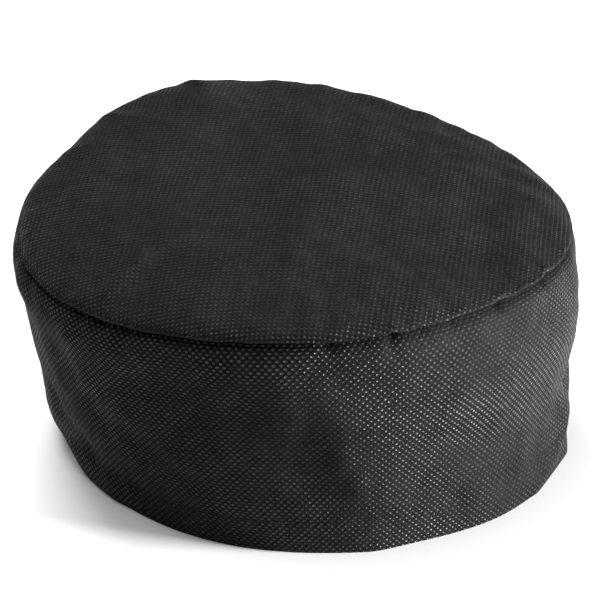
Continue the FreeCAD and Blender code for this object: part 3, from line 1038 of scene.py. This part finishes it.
def close_ring(piece):
    """Fills the small round hole that the first ring of points leaves."""
    made = bmesh.new()
    made.from_mesh(piece.data)
    made.verts.ensure_lookup_table()
    ring = [made.verts[i] for i in range(COLUMNS)]
    coordinates = made.loops.layers.uv.active
    known = {loop.vert: loop[coordinates].uv.copy() for v in ring for loop in v.link_loops}
    face = made.faces.new(ring[::-1])
    face.smooth = True
    for loop in face.loops:
        loop[coordinates].uv = known[loop.vert]
    made.to_mesh(piece.data)
    made.free()


def weld(piece):
    """Merges the points that lie on each other, and turns every face outwards."""
    made = bmesh.new()
    made.from_mesh(piece.data)
    bmesh.ops.remove_doubles(made, verts=made.verts, dist=0.002 * MM)
    bmesh.ops.dissolve_degenerate(made, edges=made.edges, dist=0.001 * MM)
    bmesh.ops.recalc_face_normals(made, faces=made.faces)
    made.to_mesh(piece.data)
    made.free()


def bend(piece):
    """Bakes the strap's placement into its mesh. The hinge's ends are found, but the fabric is not
    turned with the hinge.
    """
    start = wall(np.radians(HINGE_START), STRAP_MIDDLE, STRAP_OUT)
    end = wall(np.radians(HINGE_END), STRAP_MIDDLE, STRAP_OUT)
    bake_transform(piece)


def wall_line(points, out):
    """A line over the band through (degrees, height) points, with its normals."""
    points = np.array(points, float)
    count = 60
    t = np.linspace(0, len(points) - 1, count * (len(points) - 1) + 1)
    a = np.radians(np.interp(t, np.arange(len(points)), points[:, 0]))
    z = np.interp(t, np.arange(len(points)), points[:, 1])
    return wall(a, z, out), outward(a)


def frame_corners(start, end, low, high):
    return [(start, low), (end, low), (end, high), (start, high), (start, low)]


def make_strap_threads():
    outer = STRAP_OUT + STRAP_THICK / 2
    inset = 1.4 * MM
    a = np.radians(np.linspace(EDGE_ROW_START, TIP - TIP_ROUND, 120))
    turns = np.radians(np.linspace(-90, 90, 30))
    reach = STRAP_HALF - inset
    arc = np.radians(TIP - TIP_ROUND + (TIP_ROUND - 0.9) * np.cos(turns))
    full = np.concatenate([a, arc[1:-1], a[::-1]])
    z = np.concatenate(
        [
            STRAP_MIDDLE - reach + 0 * a,
            STRAP_MIDDLE + reach * np.sin(turns)[1:-1],
            STRAP_MIDDLE + reach + 0 * a,
        ]
    )
    normal = outward(full)
    inner = STRAP_OUT - STRAP_THICK / 2
    parts = stitch_row(wall(full, z, outer - 0.02 * MM), normal, STRAP_PITCH)
    parts += stitch_row(wall(full, z, inner + 0.02 * MM), -normal, STRAP_PITCH)
    edge = mesh_piece("thread_strap_edge", *joined(parts), THREAD)
    finish_piece(edge, "strap", "sewing_thread", "strap_edge_stitching")

    low, high = STRAP_LOW + 1.6 * MM, STRAP_HIGH - 1.6 * MM
    parts = []
    box = frame_corners(145.4, 151.6, low, high)
    over = SEWN_OUT + STRAP_THICK / 2 + 0.16 * MM
    for run in list(zip(box[:-1], box[1:])) + [(box[0], box[2]), (box[1], box[3])]:
        line, normal = wall_line(run, over)
        parts += stitch_row(line, normal, pitch=2.4 * MM)
    anchor = mesh_piece("thread_strap_anchor", *joined(parts), THREAD)
    finish_piece(anchor, "cap", "sewing_thread", "strap_anchor_stitching")


# The closure pads, in degrees round the band.
PAD_START, PAD_END = 207.3, 228.6
PAD_THICK = 0.32 * MM


def pad_grid(out):
    """The places on a closure pad, at a distance from the band."""
    a = np.radians(np.linspace(PAD_START, PAD_END, 60))
    a, z = np.meshgrid(a, np.linspace(PAD_LOW, PAD_HIGH, 30))
    return wall(a, z, out)


def make_pads():
    """The closure: tiny hooks under the strap's free end, and a bed of loops on the band."""
    base = pad_grid(2.28 * MM)
    parts = [grid_parts(base)]
    degrees, z = np.meshgrid(
        np.arange(PAD_START + 0.6, PAD_END - 0.5, 0.80),
        np.arange(PAD_LOW + 1.0 * MM, PAD_HIGH - 1.4 * MM, 1.35 * MM),
        indexing="ij",
    )
    z[1::2] += 0.65 * MM
    # Each hook is a bent wire: how far it leans, how far out it is, and how thick it is.
    i, j = np.indices(z.shape)
    hooked = np.where((i + j) % 2, 1, -1).ravel()[:, None]
    reach = hooked * np.array([0, 0.0, 0.05, 0.2, 0.34, 0.36]) * MM
    depth = np.array([1.95, 1.75, 1.56, 1.47, 1.52, 1.62]) * MM
    a = np.radians(degrees).ravel()[:, None]
    lines = wall(a, z.ravel()[:, None] + reach, depth)
    size = np.array([0.16, 0.13, 0.11, 0.1, 0.09, 0.06]) * MM
    for line, angle in zip(lines, a[:, 0]):
        ahead = np.array([np.cos(angle), np.sin(angle), 0.0])
        parts.append(tube_parts(line, ahead, size, 5))
    hooks = mesh_piece("closure_hooks", *joined(parts), HOOKS)
    finish_piece(hooks, "strap", "hook_plastic", "hook_pad")

    parts = [grid_parts(pad_grid(0.42 * MM))]
    # The loops are small arches of fine thread, each with its own place, heading and size.
    count = 1500
    a = np.radians(RANDOM.uniform(PAD_START + 0.5, PAD_END - 0.5, (count, 1)))
    z = RANDOM.uniform(PAD_LOW + 0.8 * MM, PAD_HIGH - 0.8 * MM, (count, 1))
    heading = RANDOM.uniform(0, math.pi, (count, 1))
    t = np.linspace(0, math.pi, 7)
    across = RANDOM.uniform(0.35, 0.6, (count, 1)) * MM * np.cos(t)
    tall = RANDOM.uniform(0.35, 0.62, (count, 1)) * MM
    lines = wall(
        a + across * np.cos(heading) / (95 * MM),
        z + across * np.sin(heading),
        0.38 * MM + tall * np.sin(t),
    )
    aheads = np.stack(
        [-np.sin(heading) * np.cos(a), -np.sin(heading) * np.sin(a), np.cos(heading)], -1
    )[:, 0]
    parts += [tube_parts(line, ahead, 0.05 * MM, 3) for line, ahead in zip(lines, aheads)]
    loops = mesh_piece("closure_loops", *joined(parts), PILE)
    finish_piece(loops, "cap", "loop_pile", "loop_pad")

    inset_z, inset_a = 1.0 * MM, 0.6
    box = frame_corners(
        PAD_START + inset_a, PAD_END - inset_a, PAD_LOW + inset_z, PAD_HIGH - inset_z
    )
    for name, out, body, node in (
        ("thread_loops", 0.62 * MM, "cap", "loop_pad_stitching"),
        ("thread_hooks", STRAP_OUT + STRAP_THICK / 2 + 0.02 * MM, "strap", "hook_pad_stitching"),
    ):
        parts = []
        for run in zip(box[:-1], box[1:]):
            line, normal = wall_line(run, out)
            parts += stitch_row(line, normal, pitch=2.6 * MM)
        thread = mesh_piece(name, *joined(parts), THREAD)
        finish_piece(thread, body, "sewing_thread", node)


def grid_parts(p):
    """A plate from a grid of points: (points, quads, cloth coordinates)."""
    rows, columns = p.shape[:2]
    normal = np.cross(np.gradient(p, axis=1), np.gradient(p, axis=0))
    normal = normal / np.linalg.norm(normal, axis=-1, keepdims=True)
    back = p - normal * PAD_THICK
    index = np.arange(rows * columns).reshape(rows, columns)
    quads = []
    for sheet, flip in ((index, False), (index + rows * columns, True)):
        q = np.stack([sheet[:-1, :-1], sheet[:-1, 1:], sheet[1:, 1:], sheet[1:, :-1]], -1)
        q = q.reshape(-1, 4)
        quads.append(q[:, ::-1] if flip else q)
    loop = np.concatenate([index[0, :], index[1:, -1], index[-1, -2::-1], index[-2:0:-1, 0]])
    after = np.roll(loop, -1)
    far = rows * columns
    quads.append(np.stack([after, loop, loop + far, after + far], -1))
    uv = open_uv(p).reshape(-1, 2)
    return (
        np.concatenate([p.reshape(-1, 3), back.reshape(-1, 3)]),
        np.concatenate(quads),
        np.concatenate([uv, uv]),
    )


# --- Stitching round the cap ---


def half_degrees(start, end):
    """Angles from start to end, about half a degree apart."""
    return np.radians(np.linspace(start, end, int(abs(end - start) / 0.5) + 1))


def make_round_threads():
    margin = np.degrees(math.pi - nape_angle(OPENING_HALF + TAPE_WIDTH + 1.5 * MM))
    a = half_degrees(-180 + margin, 180 - margin)
    outside, inside = 0.05 * MM, -1.95 * MM
    parts = stitch_row(wall(a, HEM_ROW + 0 * a, outside), outward(a))
    parts += stitch_row(wall(a, HEM_ROW + 0 * a, inside), -outward(a))
    hem = mesh_piece("thread_hem", *joined(parts), THREAD)
    finish_piece(hem, "cap", "sewing_thread", "hem_stitching")

    whole = half_degrees(-180, 180)
    below_seam, behind = 2.5 * MM, -2.75 * MM
    line = wall(whole, seam_height(whole) - below_seam, behind)
    row = stitch_row(line, -outward(whole), 2.9 * MM)
    seam = mesh_piece("thread_crown_seam", *joined(row), THREAD)
    finish_piece(seam, "cap", "sewing_thread", "crown_seam_stitching")

    # Overlock: each stitch climbs the allowance, comes back and wraps round the raw edge.
    count, points_each = 230, 12
    t = np.arange(count * points_each) / float(points_each)
    beat = t % 1.0
    sway = (1 - np.cos(2 * math.pi * beat)) / 2
    a = np.radians(-180 + 360 * (t + 0.18 * np.sin(2 * math.pi * beat)) / count)
    top = seam_height(a) - ALLOWANCE
    z = top - 0.35 * MM + 3.9 * MM * sway
    to_edge = beat * (beat < 0.5) + (1 - beat) * (beat >= 0.5)
    deep = -2.86 * MM + 1.6 * MM * bump(to_edge, 0.09)
    line = wall(a, z, deep)
    parts = [tube_parts(line, -outward(a), 0.13 * MM, 5, 0.8)]
    for up in (0.2 * MM, 3.5 * MM):
        chain = wall(whole, seam_height(whole) - ALLOWANCE + up, -2.98 * MM)
        parts += stitch_row(chain, -outward(whole), 2.6 * MM)
    lock = mesh_piece("thread_overlock", *joined(parts), THREAD)
    finish_piece(lock, "cap", "sewing_thread", "crown_seam_overlock")


make_side_band()
make_crown_panel()
make_sweatband()
make_binding()
make_strap()
make_strap_threads()
make_pads()
make_round_threads()

# --- Stage ---


FLOOR_SIZE = 3.2
CAMERA_AZIMUTH, CAMERA_ELEVATION = math.radians(-13.05), math.radians(28.06)
CAMERA_DISTANCE, LENS = 1.2571, 202.7


def make_stage():
    bpy.ops.mesh.primitive_plane_add(size=FLOOR_SIZE, location=(0, 0, 0))
    floor = bpy.context.object
    floor.name = "floor"
    n = Nodes("floor_paint")
    n.set(Base_Color=(0.86, 0.86, 0.86, 1.0), Roughness=0.9, Specular_IOR_Level=0.1)
    floor.data.materials.append(n.material)


def make_light(name, power, at, size):
    """A square soft light that points at the cap."""
    data = bpy.data.lights.new(name, "AREA")
    data.energy = power
    data.size = size
    light = bpy.data.objects.new(name, data)
    bpy.context.scene.collection.objects.link(light)
    light.location = at
    light.visible_camera = False
    light.rotation_mode = "QUATERNION"
    light.rotation_quaternion = (Vector(at) - Vector((0, 0, 0.05))).to_track_quat("Z", "Y")


def make_camera():
    azimuth, elevation = CAMERA_AZIMUTH, CAMERA_ELEVATION
    back = Vector(
        (
            math.sin(azimuth) * math.cos(elevation),
            -math.cos(azimuth) * math.cos(elevation),
            math.sin(elevation),
        )
    )
    right = Vector((math.cos(azimuth), math.sin(azimuth), 0))
    target = right * -2.32 * MM + Vector((0, 0, 49.57 * MM))
    data = bpy.data.cameras.new("camera")
    data.sensor_width = 36.0
    data.lens = LENS
    data.clip_start, data.clip_end = 0.05, 50.0
    camera = bpy.data.objects.new("camera", data)
    bpy.context.scene.collection.objects.link(camera)
    camera.location = target + back * CAMERA_DISTANCE
    camera.rotation_mode = "QUATERNION"
    camera.rotation_quaternion = back.to_track_quat("Z", "Y")
    bpy.context.scene.camera = camera


def make_world(strength):
    world = bpy.data.worlds.new("studio")
    world.use_nodes = True
    world.node_tree.nodes["Background"].inputs["Color"].default_value = (1, 1, 1, 1)
    # The camera sees a white backdrop that lights nothing.
    nodes = world.node_tree.nodes
    path = nodes.new("ShaderNodeLightPath")
    shown = nodes.new("ShaderNodeMath")
    shown.operation = "MULTIPLY_ADD"
    shown.inputs[1].default_value = 1.0 - strength
    shown.inputs[2].default_value = strength
    world.node_tree.links.new(path.outputs["Is Camera Ray"], shown.inputs[0])
    world.node_tree.links.new(shown.outputs[0], nodes["Background"].inputs["Strength"])
    bpy.context.scene.world = world


make_stage()
make_camera()
make_world(0.12)
make_light("key", 175.0, (1.62, -0.86, 0.30), size=0.55)
make_light("top", 22.0, (-0.6, 0.1, 1.85), size=1.4)
make_light("back", 36.0, (-0.2, 1.1, 1.5), size=0.8)
bpy.context.scene.view_settings.view_transform = "Standard"
